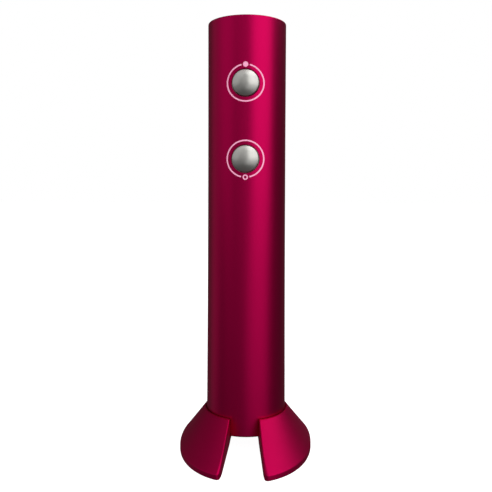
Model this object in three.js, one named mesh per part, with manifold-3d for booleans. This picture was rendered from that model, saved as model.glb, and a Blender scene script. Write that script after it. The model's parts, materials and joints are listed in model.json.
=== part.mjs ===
// An electric wine opener standing in its two-winged foil-cutter stand.
// Millimetres, +Z up, the front faces -Y. The origin lies on the table, on the axis of the opener.
//
// The stand is two flared wings on a rear hinge. They cradle the foot of the opener, and four small cutting
// wheels hang under their inner ledge. The opener is a slim lacquered tube. Inside it, from the foot up,
// are the guide for the bottle's neck, the cork sleeve with the worm, a two-stage planetary gearbox, the
// motor, and four AA cells under a screw cap. Two push buttons in front of a circuit board drive the worm
// out and in.
import * as THREE from "three";
import { mergeVertices } from "three/addons/utils/BufferGeometryUtils.js";
import Module from "manifold-3d";

const wasm = await Module();
wasm.setup();

// ---- Driving dimensions ----

const GAP = 0.3; // between neighbouring pieces that do not move on each other
const OVERCUT = 1; // how far a cutting tool runs past the face that it opens
const BEYOND = 70; // further from the axis than any piece reaches

const TUBE = { bottom: 12, top: 267, radius: 25, waist: 0.3, bore: 23.5, chamfer: 0.6 };
const LINER = TUBE.bore - GAP; // outer radius of everything that slides up the tube
const BUTTON = { radius: 8, hole: 8.5, upperZ: 225.8, lowerZ: 179.9, crownY: -28, rimY: -25.2 };
const FLANGE = { radius: 9.6, frontY: -21, backY: -20 }; // of a button, behind the tube's wall
const SWITCH = { half: 3, frontY: -18.9, well: 2, wellFloorY: -16.9 };
const PLUNGER = { radius: 1.7, frontY: -19.7, backY: -17.9 };

const STAND = {
  seat: 25.5, // bore that cradles the tube, larger in radius so that the wings can be squeezed a little
  ledge: TUBE.bottom - GAP, // top of the ledge that carries the tube
  ledgeUnder: 9.8,
  underFlat: 22.6, // how far the flat underside of the ledge reaches
  neck: 13.5, // the ledge stops the lip of a bottle
  crest: 22.9, // where the flare leaves the tube
  lip: 0.9, // width of the crest
  side: 41.3, // half width of the foot print
  squareness: 2.16, // exponent of the foot print's outline, where 2 is an ellipse
  front: 57.5, // half length of the outline in front, which the gap cuts short
  rear: 55.34, // half length of the outline behind
  rim: 3.2,
  heel: 37.4, // inner edge of the flat rim that stands on the table, at the side
  chamfer: 0.6,
  split: 0.4, // half the parting between the wings at the rear
};
const WING_GAP = { half: 8.45, at: 22.6, slope: 0.1246 }; // the front gap's half width, and how it widens
const HINGE = { y: 34, radius: 4.6, bottom: 3.5, knuckle: 2.8, step: 3.1, strap: 9, strapHalf: 3 };
const HINGE_PIN = { radius: 1.5, head: 2.8, headHeight: 1.6 };
const SPRING = { y: 29.5, z: 17, radius: 1.75, wire: 0.3, half: 3.7, pitch: 1.85 };
const SPRING_POCKET = { radius: 2.5, half: 4.3 };
const CUTTER = { radius: 18.9, angle: 40, disc: 4.6, height: 4.5, bevel: 1.1, thin: 0.35 };
const CUTTER_HUB = { bore: 1.4, radius: 2.4, bottom: 2.6, top: 9.3 };
const CUTTER_PIN = { radius: 1.2, head: 2.1, headBottom: 1.4, headTop: 2.2, chamfer: 0.2 };

const NECK_GUIDE = { bottom: TUBE.bottom + 0.6, top: 65, bore: 15.8, hole: 12.5, wall: 2, flange: 3 };
const MOUTH = { radius: 21.5, band: 6, cone: 11, outerCone: 16 }; // heights above the neck guide's bottom
const SLEEVE = { bottom: NECK_GUIDE.top + GAP, top: 116, bore: 13.4, radius: 15, flange: 20.5, thick: 2 };
const WORM = { tip: 24, taper: 8, top: 106.7, helix: 3.4, wire: 1.6, pitch: 9, coilTop: 88, windIn: 6 };
const CHUCK = { bottom: 100.5, floor: 107, recess: 109, top: 114.6, radius: 6.5, chamfer: 1 };
const GRUB = { z: 103.5, hole: 1.3, holeStart: 1, holeEnd: 9, radius: 1, start: 2.3, end: 6.3 };
const OUTPUT_SHAFT = 4;

const GEAR = { module: 1, sun: 12, planet: 12, ring: 36, backlash: 0.2, pressure: Math.PI / 9 };
const TOOTH = { addendum: 0.85, dedendum: 1.15 }; // in modules
const PIN_CIRCLE = (GEAR.module * (GEAR.sun + GEAR.planet)) / 2;
const PLANET_ANGLES = [90, 210, 330];
const STAGE = { output: 123, input: 136.5, face: 8, play: 0.5 }; // heights of the two carriers first
const CARRIER = { radius: 14.4, plate: 3, pin: 1.5, bore: 1.75 };
const GEARBOX = { bottom: 122.2, top: 150.2, radius: 21.2 };
const BEARING = { bore: 4.2, radius: 8.1, bottom: 117.2, top: 121.1, race: 0.9, groove: 0.4 };
const BASE = { bottom: 116.9, boss: 11, flange: 119.4, top: 121.9, stop: 6.5 };

const MOTOR = { bottom: 153.2, top: 190, radius: 13.8, shaft: 1.15, nose: 5, noseHeight: 1.4, bore: 9 };
const TERMINAL = { x: 9, half: 1.2, thick: 0.6, height: 3.6 };
const MOTOR_SCREW = { x: 8, hole: 1.6, radius: 1.2, head: 2.4, headHeight: 1.6, depth: 4.5 };
const NOSE_HOLE = 5.4;

const BOARD = { front: -15.6, thick: 1.2, width: 23, bottom: 168, top: 238 };
const CELL = { radius: 7.1, bottom: 204, length: 49.2, nub: 2.7, nubHeight: 1, pitch: 15, y: 4 };
const CONTACT = { radius: 3, pitch: 1.15, height: 2.95, wire: 0.28 };
const HOLDER = { bottom: 197, floor: 200, top: 252.4, radius: 22.4, front: -14 };
const CAP = { skirt: 21.6, inner: 20.2, bottom: 254.4, flange: 262.2, top: 266.6, edge: 0.5, roof: 5.4 };
const THREAD = { pitch: 3, radius: 0.7, start: 1.1, length: 2.7, groove: 1.2, grooveLength: 10.2 };
const COIN_SLOT = { half: 9, halfWidth: 1.2, depth: 1.6 };
const COLLAR = { bottom: 253, top: 260.6, bore: 21.9 };
const SEAL = { ring: 22.35, radius: 0.5, drop: 0.8 };
const CONTACT_PLATE = { bottom: 256.2, top: 257.4, margin: 0.4, bump: 2, bumpBottom: 255.6 };

const CHASSIS = { wall: 1.4, bottom: SLEEVE.bottom + 0.1, frontTop: 160, rearTop: HOLDER.bottom - GAP };
const RIB = { heights: [84, 102], thick: 2 };
const BOSS = { x: 18.4, heights: [76, 96], radius: 2.8, length: 9, hole: 1.55 };
const COUNTERBORE = { radius: 2.7, floorY: -7.2 };
const CHASSIS_SCREW = { radius: 1.25, head: 2.4, tipY: 8, neckY: -7.5, headY: -8.9 };

// ---- Materials ----

const finish = (color, roughness, metalness = 0) =>
  new THREE.MeshStandardMaterial({ color, roughness, metalness });
const LACQUER = finish(0xa00c46, 0.32, 0.75);
const SATIN_METAL = finish(0xb9bab6, 0.35, 1);
const STEEL = finish(0xc9ccd0, 0.25, 1);
const BRASS = finish(0xc8a04a, 0.3, 1);
const BLACK_PLASTIC = finish(0x1a1a1c, 0.55);
const GREY_PLASTIC = finish(0x6e7175, 0.6);
const GEAR_PLASTIC = finish(0xe8e4d8, 0.5);
const BOARD_GREEN = finish(0x1f5a34, 0.5);
const CELL_WRAP = finish(0x2b3c55, 0.4, 0.2);
const RUBBER = finish(0x141414, 0.85);
const RED_WIRE = finish(0xa8201c, 0.5);

// ---- Making and joining solids ----

const rad = THREE.MathUtils.degToRad;

/** A closed three.js geometry as a manifold-3d solid. */
function solid(geometry) {
  const bare = geometry.clone();
  bare.deleteAttribute("normal");
  bare.deleteAttribute("uv");
  const merged = mergeVertices(bare, 1e-4);
  return new wasm.Manifold(
    new wasm.Mesh({
      numProp: 3,
      vertProperties: new Float32Array(merged.attributes.position.array),
      triVerts: new Uint32Array(merged.index.array),
    }),
  );
}

/** The vertices and triangles of a manifold-3d solid as a three.js geometry. */
function geometryOf(body) {
  const { vertProperties, triVerts } = body.getMesh();
  const geometry = new THREE.BufferGeometry();
  geometry.setAttribute("position", new THREE.BufferAttribute(vertProperties, 3));
  geometry.setIndex(new THREE.BufferAttribute(triVerts, 1));
  geometry.computeVertexNormals();
  return geometry;
}

const join = (...geometries) => geometryOf(geometries.map(solid).reduce((a, b) => a.add(b)));
const cut = (geometry, ...tools) =>
  geometryOf(tools.map(solid).reduce((body, tool) => body.subtract(tool), solid(geometry)));
const common = (a, b) => geometryOf(solid(a).intersect(solid(b)));

/** A turned piece: the profile is [radius, z] points that run up the outside and down the inside. */
function turned(profile, segments = 24) {
  const points = profile.map(([r, z]) => new THREE.Vector2(r, z));
  return new THREE.LatheGeometry(points, segments).rotateX(Math.PI / 2);
}

/** A turned ring with a rectangular section. */
const ring = (inner, outer, bottom, top, segments = 24) =>
  turned([[inner, bottom], [outer, bottom], [outer, top], [inner, top], [inner, bottom]], segments);

/** An upright rod of one radius, at x, y. */
const rod = (radius, bottom, top, x = 0, y = 0, segments = 16) =>
  new THREE.CylinderGeometry(radius, radius, top - bottom, segments)
    .rotateX(Math.PI / 2)
    .translate(x, y, (bottom + top) / 2);

/** A rod that lies along Y from front to back, at x, z. */
const rodAlongY = (radius, front, back, x, z, segments = 16) =>
  new THREE.CylinderGeometry(radius, radius, back - front, segments).translate(x, (front + back) / 2, z);

/** A rod that lies along X from left to right, at y, z. */
const rodAlongX = (radius, left, right, y, z, segments = 12) =>
  new THREE.CylinderGeometry(radius, radius, right - left, segments)
    .rotateZ(Math.PI / 2)
    .translate((left + right) / 2, y, z);

/** A box between two corners. */
const block = ([x0, y0, z0], [x1, y1, z1]) =>
  new THREE.BoxGeometry(x1 - x0, y1 - y0, z1 - z0).translate((x0 + x1) / 2, (y0 + y1) / 2, (z0 + z1) / 2);

/** A flat outline of [x, y] points, raised from bottom to top. */
function raised(outline, bottom, top) {
  const shape = new THREE.Shape(outline.map(([x, y]) => new THREE.Vector2(x, y)));
  const options = { depth: top - bottom, bevelEnabled: false };
  return new THREE.ExtrudeGeometry(shape, options).translate(0, 0, bottom);
}

/** A helix about the Z axis that starts at an angle and can wind in to the axis near its top. */
class Helix extends THREE.Curve {
  constructor({ radius, pitch, bottom, top, start = 0, easeIn = 0 }) {
    super();
    Object.assign(this, { radius, pitch, bottom, top, start, easeIn });
  }
  getPoint(t, target = new THREE.Vector3()) {
    const z = this.bottom + t * (this.top - this.bottom);
    const angle = this.start + ((z - this.bottom) / this.pitch) * 2 * Math.PI;
    const left = this.easeIn ? Math.min(1, (this.top - z) / this.easeIn) : 1;
    const radius = this.radius * left * left * (3 - 2 * left);
    return target.set(radius * Math.cos(angle), radius * Math.sin(angle), z);
  }
}

/** A round wire along a curve. */
function wire(curve, radius, steps, sides = 8) {
  const section = new THREE.Shape();
  for (let i = 0; i < sides; i++) {
    const a = (i / sides) * 2 * Math.PI;
    section[i ? "lineTo" : "moveTo"](radius * Math.cos(a), radius * Math.sin(a));
  }
  return new THREE.ExtrudeGeometry(section, { steps, bevelEnabled: false, extrudePath: curve });
}

/** A short cone along a stretch of a curve, part of a taper that is widest at the curve's end. */
function cone(curve, from, to, fullRadius) {
  const [point, overlap] = [0.08, 0.3];
  const [a, b] = [curve.getPoint(from), curve.getPoint(to)];
  const along = b.clone().sub(a);
  const [thin, thick] = [from, to].map((t) => fullRadius * (point + (1 - point) * t));
  const length = along.length() + overlap;
  const turn = new THREE.Quaternion().setFromUnitVectors(new THREE.Vector3(0, 1, 0), along.normalize());
  return new THREE.CylinderGeometry(thick, thin, length, 6)
    .applyQuaternion(turn)
    .translate(...a.add(b).multiplyScalar(0.5).toArray());
}

const machine = new THREE.Group();

/** Adds a named piece of a material to a group. */
function add(name, geometry, material, group = machine) {
  const mesh = new THREE.Mesh(geometry, material);
  mesh.name = name;
  group.add(mesh);
  return mesh;
}

// ---- The foil-cutter stand ----

/**
 * Stretches a turned flare from a round seat to a foot print that is longer in front and behind than at the
 * sides, and a little fuller than an ellipse in between.
 */
function stretchFlare(geometry) {
  const { seat, side, front, rear, squareness: power } = STAND;
  const place = geometry.attributes.position;
  for (let i = 0; i < place.count; i++) {
    const [x, y] = [place.getX(i), place.getY(i)];
    const radius = Math.hypot(x, y);
    const out = Math.max(0, (radius - seat) / (side - seat));
    const reach = y < 0 ? front : rear;
    const longer = (seat + (reach - seat) * out) / (seat + (side - seat) * out);
    const full = (Math.abs(x / radius) ** power + Math.abs(y / radius) ** power) ** (-1 / power);
    const fuller = 1 + (full - 1) * Math.min(1, out);
    place.setXY(i, x * fuller, y * fuller * longer);
  }
  return geometry;
}

/** The whole flare, before the front gap and the rear parting cut it in two. */
function flare() {
  const { seat, ledge, ledgeUnder, underFlat, neck, crest, lip, side, rim, heel, chamfer } = STAND;
  const profile = [
    [neck, ledgeUnder], [underFlat, ledgeUnder], [heel, 0], [side - chamfer, 0], [side, chamfer],
    [side, rim - chamfer], [side - chamfer, rim], [seat + lip, crest], [seat + lip / 3, crest - lip / 9],
    [seat, crest - (2 * lip) / 3], [seat, ledge], [neck, ledge], [neck, ledgeUnder],
  ];
  return stretchFlare(turned(profile, 48));
}

/** The wedge of air between the front tips of the wings. */
function frontGap() {
  const halfAt = (reach) => WING_GAP.half + WING_GAP.slope * (reach - WING_GAP.at);
  return raised(
    [[halfAt(BEYOND), -BEYOND], [halfAt(0), 0], [-halfAt(0), 0], [-halfAt(BEYOND), -BEYOND]],
    -OVERCUT, STAND.crest + OVERCUT,
  );
}

const cutterPlaces = [[1, -1], [1, 1], [-1, -1], [-1, 1]].map(([sx, sy]) => ({
  name: `${sx < 0 ? "left" : "right"}_${sy < 0 ? "front" : "rear"}`,
  x: sx * CUTTER.radius * Math.cos(rad(CUTTER.angle)),
  y: sy * CUTTER.radius * Math.sin(rad(CUTTER.angle)),
}));

/** One wing: its half of the flare, its hinge knuckles, the spring pocket and the cutters' pin holes. */
function wing(hand) {
  const half = block(
    [hand < 0 ? -BEYOND : STAND.split, -BEYOND, -OVERCUT],
    [hand < 0 ? -STAND.split : BEYOND, BEYOND, STAND.crest + OVERCUT],
  );
  const { y, radius, bottom, knuckle, step, strap, strapHalf } = HINGE;
  const top = bottom + 3 * step;
  const well = rod(radius + GAP, -OVERCUT, top + GAP, 0, y);
  const floors = hand < 0 ? [bottom, bottom + 2 * step] : [bottom + step];
  const knuckles = floors.flatMap((z) => [
    rod(radius, z, z + knuckle, 0, y),
    block([hand < 0 ? -strap : 0, y - strapHalf, z], [hand < 0 ? 0 : strap, y + strapHalf, z + knuckle]),
  ]);
  const pinHoles = cutterPlaces
    .filter(({ x }) => x * hand > 0)
    .map((at) => rod(CUTTER_PIN.radius + GAP, CUTTER.height, STAND.ledge + OVERCUT, at.x, at.y, 12));
  const pocket = rodAlongX(SPRING_POCKET.radius, -SPRING_POCKET.half, SPRING_POCKET.half, SPRING.y, SPRING.z);
  const pinBore = rod(HINGE_PIN.radius + GAP, -OVERCUT, top, 0, y);
  const body = cut(common(cut(flare(), frontGap()), half), well);
  return cut(join(body, ...knuckles), pinBore, pocket, ...pinHoles);
}

/** The hinge pin with its head below the lowest knuckle. */
function hingePin() {
  const { radius, head, headHeight } = HINGE_PIN;
  const [shoulder, top] = [HINGE.bottom - GAP, HINGE.bottom + 3 * HINGE.step - GAP];
  const profile = [
    [0, shoulder - headHeight], [head, shoulder - headHeight], [head, shoulder], [radius, shoulder],
    [radius, top], [0, top],
  ];
  return turned(profile, 16).translate(0, HINGE.y, 0);
}

/** The spring that pushes the wings apart, a coil that lies across the parting. */
function wingSpring() {
  const { y, z, radius, wire: thick, half, pitch } = SPRING;
  const coil = new Helix({ radius, pitch, bottom: -half, top: half });
  return wire(coil, thick, 26, 4).rotateY(Math.PI / 2).translate(0, y, z);
}

/** A cutter's pin, with its head below the wheel. */
function cutterPin() {
  const { radius, head, headBottom, headTop, chamfer } = CUTTER_PIN;
  const top = STAND.ledge - GAP;
  return turned([
    [0, headBottom], [head - chamfer, headBottom], [head, headBottom + chamfer], [head, headTop],
    [radius, headTop], [radius, top], [0, top],
  ], 12);
}

/** A cutting wheel: a disc that comes to an edge, on a long hub. */
function cutterWheel() {
  const { disc, height, bevel, thin } = CUTTER;
  const { bore, radius, bottom, top } = CUTTER_HUB;
  return turned([
    [bore, bottom], [radius, bottom], [radius, height - thin], [disc - bevel, height - thin],
    [disc, height], [disc - bevel, height + thin], [radius, height + thin], [radius, top], [bore, top],
    [bore, bottom],
  ], 14);
}

function buildStand() {
  add("left_wing", wing(-1), LACQUER);
  add("right_wing", wing(1), LACQUER);
  add("wing_hinge_pin", hingePin(), STEEL);
  add("wing_spring", wingSpring(), STEEL);
  for (const { name, x, y } of cutterPlaces) {
    add(`cutter_pin_${name}`, cutterPin().translate(x, y, 0), STEEL);
    add(`cutter_wheel_${name}`, cutterWheel().translate(x, y, 0), STEEL);
  }
}

// ---- The outside of the opener ----

/** The lacquered tube, a little slimmer at the waist, with its two button holes. */
function bodyTube() {
  const { bottom, top, radius, waist, bore, chamfer } = TUBE;
  const steps = 4;
  const outside = Array.from({ length: steps + 1 }, (_, i) => {
    const t = i / steps;
    return [radius - waist * Math.sin(Math.PI * t), bottom + chamfer + t * (top - bottom - 2 * chamfer)];
  });
  const profile = [
    [bore, bottom], [radius - chamfer, bottom], ...outside, [radius - chamfer, top], [bore, top],
    [bore, bottom],
  ];
  const holes = [BUTTON.upperZ, BUTTON.lowerZ].map((z) =>
    rodAlongY(BUTTON.hole, -radius - OVERCUT, FLANGE.backY, 0, z, 24),
  );
  return cut(turned(profile, 40), ...holes);
}

/** A push button with a crowned face in front and a flange that holds it behind the wall. */
function button(z) {
  const { radius, crownY, rimY } = BUTTON;
  const steps = 4;
  const crown = Array.from({ length: steps + 1 }, (_, i) => {
    const t = 1 - i / steps;
    return [radius * t, (crownY - rimY) * t * t - crownY];
  });
  const profile = [
    [0, -FLANGE.backY], [FLANGE.radius, -FLANGE.backY], [FLANGE.radius, -FLANGE.frontY],
    [radius, -FLANGE.frontY], ...crown,
  ];
  return turned(profile, 24).rotateX(Math.PI / 2).translate(0, 0, z);
}

/** The push switch behind a button, with the well that its plunger slides in. */
function pushSwitch(z) {
  const { half, frontY, well, wellFloorY } = SWITCH;
  const body = block([-half, frontY, z - half], [half, BOARD.front - GAP, z + half]);
  return cut(body, rodAlongY(well, frontY - OVERCUT, wellFloorY, 0, z, 12));
}

function buildOutside() {
  add("body_tube", bodyTube(), LACQUER);
  for (const [name, z] of [["upper", BUTTON.upperZ], ["lower", BUTTON.lowerZ]]) {
    const { radius, frontY, backY } = PLUNGER;
    add(`${name}_button`, button(z), SATIN_METAL);
    add(`${name}_switch_plunger`, rodAlongY(radius, frontY, backY, 0, z, 12), BLACK_PLASTIC);
    add(`${name}_switch`, pushSwitch(z), BLACK_PLASTIC);
  }
}

// ---- The guide, the cork sleeve and the worm ----

/** The guide that centres the bottle's neck, with a flared mouth and a flange at its top. */
function neckGuide() {
  const { bottom, top, bore, hole, wall, flange } = NECK_GUIDE;
  const { radius, band, cone: coneHeight, outerCone } = MOUTH;
  const under = top - flange;
  return turned([
    [radius, bottom], [LINER, bottom], [LINER, bottom + band], [bore + wall, bottom + outerCone],
    [bore + wall, under - wall], [LINER, under], [LINER, top], [hole, top], [hole, under],
    [bore, under - 0.5], [bore, bottom + coneHeight], [radius, bottom],
  ]);
}

/** The sleeve that the cork is drawn into, with a flange at each end. */
function corkSleeve() {
  const { bottom, top, bore, radius, flange, thick } = SLEEVE;
  return turned([
    [bore, bottom], [flange, bottom], [flange, bottom + thick], [radius, bottom + thick],
    [radius, top - thick], [flange, top - thick], [flange, top], [bore, top], [bore, bottom],
  ]);
}

/** The worm: a helix of steel wire that tapers to a point below and winds in to a straight shank above. */
function wormScrew() {
  const { tip, taper, top, helix, wire: thick, pitch, coilTop, windIn } = WORM;
  const bottom = tip + taper;
  const coil = new Helix({ radius: helix, pitch, bottom, top: coilTop + windIn, easeIn: windIn });
  const start = -(taper / pitch) * 2 * Math.PI;
  const point = new Helix({ radius: helix, pitch, bottom: tip, top: bottom, start });
  const steps = 9;
  const cones = Array.from({ length: steps }, (_, i) => cone(point, i / steps, (i + 1) / steps, thick));
  return join(wire(coil, thick, 60, 6), ...cones, rod(thick, coilTop + windIn - 1, top, 0, 0, 10));
}

/** The chuck that joins the worm's shank to the gearbox's output shaft, with the grub screw's hole. */
function wormChuck() {
  const { bottom, floor, recess, top, radius, chamfer } = CHUCK;
  const [shank, shaft] = [WORM.wire + GAP, OUTPUT_SHAFT + GAP];
  const profile = [
    [0, floor], [shank, floor], [shank, bottom], [radius - chamfer, bottom], [radius, bottom + chamfer],
    [radius, top], [shaft, top], [shaft, recess], [0, recess],
  ];
  return cut(turned(profile, 20), rodAlongX(GRUB.hole, GRUB.holeStart, GRUB.holeEnd, 0, GRUB.z));
}

function buildWormEnd() {
  add("neck_guide", neckGuide(), BLACK_PLASTIC);
  add("cork_sleeve", corkSleeve(), GREY_PLASTIC);
  add("worm", wormScrew(), STEEL);
  add("worm_chuck", wormChuck(), SATIN_METAL);
  add("chuck_grub_screw", rodAlongX(GRUB.radius, GRUB.start, GRUB.end, 0, GRUB.z), STEEL);
}

// ---- The planetary gearbox ----

/** The involute function of an angle. */
const inv = (angle) => Math.tan(angle) - angle;

/**
 * The outline of an involute gear, with each flank drawn through three points. side is 1 for teeth that
 * point out and -1 for the teeth of a ring, which point in; phase turns a tooth's centre to that angle.
 */
function gearOutline(teeth, side, phase) {
  const { module, backlash, pressure } = GEAR;
  const pitchRadius = (module * teeth) / 2;
  const base = pitchRadius * Math.cos(pressure);
  const tip = pitchRadius + side * TOOTH.addendum * module;
  const root = pitchRadius - side * TOOTH.dedendum * module;
  const middle = side > 0 ? base : pitchRadius;
  const halfAt = (r) => {
    const taper = inv(pressure) - inv(Math.acos(Math.min(1, base / r)));
    return Math.PI / (2 * teeth) + side * taper - backlash / 2 / r;
  };
  const flank = [root, middle, tip].map((r) => [r, halfAt(r)]);
  const corners = [...flank.map(([r, a]) => [r, -a]), ...flank.reverse()];
  return Array.from({ length: teeth }, (_, i) => phase + (i * 2 * Math.PI) / teeth).flatMap((centre) =>
    corners.map(([r, a]) => [r * Math.cos(centre + a), r * Math.sin(centre + a)]),
  );
}

/** The angle that puts a planet in mesh with a sun whose first tooth is at angle 0. */
const planetPhase = (at) => at + Math.PI - (Math.PI - at * GEAR.sun) / GEAR.planet;

/** The angle that puts the ring in mesh with every planet. */
function ringPhase() {
  const at = rad(PLANET_ANGLES[0]);
  const turn = ((planetPhase(at) - at) * GEAR.planet) / (2 * Math.PI) + 0.5;
  return at + (turn * 2 * Math.PI) / GEAR.ring;
}

/** The plate of a carrier at a height, with its three planet pins. */
function carrierPlate(z) {
  const { radius, plate, pin } = CARRIER;
  const pins = PLANET_ANGLES.map(rad).map((a) => {
    const [x, y] = [PIN_CIRCLE * Math.cos(a), PIN_CIRCLE * Math.sin(a)];
    return rod(pin, z + plate / 2, z + plate + STAGE.face + 3 * GAP, x, y, 10);
  });
  return [rod(radius, z, z + plate, 0, 0, 28), ...pins];
}

/** The three planets of a stage, each on its pin and in mesh with the sun and the ring. */
function addPlanets(stage, z) {
  const bottom = z + CARRIER.plate + GAP;
  const top = bottom + STAGE.face;
  PLANET_ANGLES.map(rad).forEach((at, i) => {
    const blank = raised(gearOutline(GEAR.planet, 1, planetPhase(at)), bottom, top);
    const planet = cut(blank, rod(CARRIER.bore, bottom - OVERCUT, top + OVERCUT, 0, 0, 10));
    planet.translate(PIN_CIRCLE * Math.cos(at), PIN_CIRCLE * Math.sin(at), 0);
    add(`${stage}_planet_${i + 1}`, planet, GEAR_PLASTIC);
  });
}

/** The disc that closes the gearbox below and holds the output bearing. */
function gearboxBase() {
  const { bottom, boss, flange, top, stop } = BASE;
  const [bore, rim, floor] = [BEARING.radius + GAP, LINER - 2, BEARING.top + GAP];
  return turned([
    [bore, bottom], [boss, bottom], [boss, flange], [rim, flange], [rim, top], [stop, top], [stop, floor],
    [bore, floor], [bore, bottom],
  ]);
}

/** The ball bearing of the output shaft as one solid, with the groove between its two races. */
function outputBearing() {
  const { bore, radius, bottom, top, race, groove } = BEARING;
  return turned([
    [bore, bottom], [radius, bottom], [radius, top], [radius - race, top],
    [radius - race - groove, top - groove], [bore + race + groove, top - groove], [bore + race, top],
    [bore, top], [bore, bottom],
  ], 20);
}

function buildGearbox() {
  const { bottom, top, radius } = GEARBOX;
  const { output, input, face, play } = STAGE;
  const { plate } = CARRIER;
  const teeth = raised(gearOutline(GEAR.ring, -1, ringPhase()), bottom - OVERCUT, top + OVERCUT);
  add("ring_gear", cut(rod(radius, bottom, top, 0, 0, 24), teeth), GREY_PLASTIC);
  addPlanets("output", output);
  addPlanets("input", input);
  const shaft = rod(OUTPUT_SHAFT, CHUCK.recess + GAP, output + plate / 2);
  add("output_carrier", join(...carrierPlate(output), shaft), STEEL);
  const sun = raised(gearOutline(GEAR.sun, 1, 0), output + plate + play, input + plate / 2);
  add("input_carrier", join(...carrierPlate(input), sun), GEAR_PLASTIC);
  const pinionBottom = input + plate + play;
  const pinion = raised(gearOutline(GEAR.sun, 1, 0), pinionBottom, pinionBottom + face + play);
  const rotorShaft = rod(MOTOR.shaft, pinionBottom + face / 2, MOTOR.bottom + MOTOR.bore - 1, 0, 0, 12);
  add("motor_pinion", join(pinion, rotorShaft), BRASS);
  add("gearbox_base", gearboxBase(), GREY_PLASTIC);
  add("output_bearing", outputBearing(), STEEL);
}

// ---- The motor and the chassis ----

/** The plate between the gearbox and the motor, with the holes for the motor's nose and its two screws. */
function motorPlate() {
  const [bottom, top] = [GEARBOX.top + GAP, MOTOR.bottom - GAP];
  const hole = (radius, x) => rod(radius, bottom - OVERCUT, top + OVERCUT, x, 0, 16);
  const { x, hole: clear } = MOTOR_SCREW;
  const disc = rod(GEARBOX.radius, bottom, top, 0, 0, 24);
  return cut(disc, hole(NOSE_HOLE, 0), hole(clear, x), hole(clear, -x));
}

/** The motor's can with its nose, its two terminals and the threaded holes of its screws. */
function motorCan() {
  const { bottom, top, radius, shaft, nose, noseHeight, bore } = MOTOR;
  const [clear, shoulder] = [shaft + GAP, 1.5];
  const can = turned([
    [clear, bottom - noseHeight], [nose, bottom - noseHeight], [nose, bottom], [radius - 1, bottom],
    [radius, bottom + 1], [radius, top - 2], [radius - shoulder, top - 0.5], [radius - shoulder, top],
    [0, top], [0, bottom + bore], [clear, bottom + bore], [clear, bottom - noseHeight],
  ], 20);
  const { x: tabX, half, thick, height } = TERMINAL;
  const tabs = [-tabX, tabX].map((x) =>
    block([x - half, -thick / 2, top - 1], [x + half, thick / 2, top + height]),
  );
  const holes = [-1, 1].map((side) =>
    rod(MOTOR_SCREW.hole, bottom - OVERCUT, bottom + MOTOR_SCREW.depth + 0.5, side * MOTOR_SCREW.x, 0, 12),
  );
  return cut(join(can, ...tabs), ...holes);
}

function buildMotor() {
  add("motor_plate", motorPlate(), GREY_PLASTIC);
  add("motor", motorCan(), SATIN_METAL);
  const { x, radius, head, headHeight, depth } = MOTOR_SCREW;
  const [headTop, tip] = [GEARBOX.top, MOTOR.bottom + depth];
  const profile = [
    [0, headTop - headHeight], [head, headTop - headHeight], [head, headTop], [radius, headTop],
    [radius, tip], [0, tip],
  ];
  [-x, x].forEach((place, i) => {
    add(`motor_screw_${i + 1}`, turned(profile, 12).translate(place, 0, 0), STEEL);
  });
}

const bossPlaces = BOSS.heights.flatMap((z) => [-BOSS.x, BOSS.x].map((x) => ({ x, z })));

/** Half of the chassis tube, in front or behind, with its ribs round the cork sleeve and its bosses. */
function chassisHalf(side, top) {
  const { wall, bottom } = CHASSIS;
  const shell = ring(LINER - wall, LINER, bottom, top);
  const ribs = RIB.heights.map((z) => ring(SLEEVE.radius + GAP, LINER - wall / 2, z, z + RIB.thick));
  const [near, far] = [GAP / 2, BEYOND].map((y) => side * y);
  const half = block([-BEYOND, Math.min(near, far), bottom], [BEYOND, Math.max(near, far), top]);
  const reach = side * BOSS.length;
  const bosses = bossPlaces.map(({ x, z }) =>
    rodAlongY(BOSS.radius, Math.min(near, reach), Math.max(near, reach), x, z, 10),
  );
  const holes = bossPlaces.flatMap(({ x, z }) => [
    rodAlongY(BOSS.hole, COUNTERBORE.floorY - OVERCUT, CHASSIS_SCREW.tipY + GAP, x, z, 10),
    rodAlongY(COUNTERBORE.radius, -LINER - OVERCUT, COUNTERBORE.floorY, x, z, 12),
  ]);
  return cut(join(common(join(shell, ...ribs), half), ...bosses), ...holes);
}

function buildChassis() {
  add("chassis_front", chassisHalf(-1, CHASSIS.frontTop), BLACK_PLASTIC);
  add("chassis_rear", chassisHalf(1, CHASSIS.rearTop), BLACK_PLASTIC);
  const { radius, head, tipY, neckY, headY } = CHASSIS_SCREW;
  const profile = [
    [0, -tipY], [radius, -tipY], [radius, -neckY], [head, -neckY], [head, -headY], [0, -headY],
  ];
  bossPlaces.forEach(({ x, z }, i) => {
    add(`chassis_screw_${i + 1}`, turned(profile, 12).rotateX(Math.PI / 2).translate(x, 0, z), STEEL);
  });
}

// ---- The board, the cells and the cap ----

const cellPlaces = [[-1, -1], [1, -1], [1, 1], [-1, 1]].map(([sx, sy], i) => ({
  x: (sx * CELL.pitch) / 2,
  y: CELL.y + (sy * CELL.pitch) / 2,
  up: i % 2 === 0,
}));

/** The drum that holds the cells, with a flat in front for the board. */
function batteryHolder() {
  const { bottom, floor, top, radius, front } = HOLDER;
  const wells = cellPlaces.map(({ x, y }) => rod(CELL.radius + GAP, floor, top + OVERCUT, x, y, 20));
  const flat = block([-BEYOND, -BEYOND, bottom - OVERCUT], [BEYOND, front, top + OVERCUT]);
  return cut(rod(radius, bottom, top, 0, 0, 28), flat, ...wells);
}

/** An AA cell at x, y, with its nub up or down. */
function cell({ x, y, up }) {
  const { radius, bottom, length, nub, nubHeight } = CELL;
  const shoulder = 0.6;
  const body = turned([
    [0, 0], [radius - shoulder, 0], [radius, shoulder], [radius, length - shoulder],
    [radius - shoulder, length], [nub, length], [nub, length + nubHeight], [0, length + nubHeight],
  ], 16);
  if (!up) body.rotateX(Math.PI).translate(0, 0, length + nubHeight);
  return body.translate(x, y, bottom);
}

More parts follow.
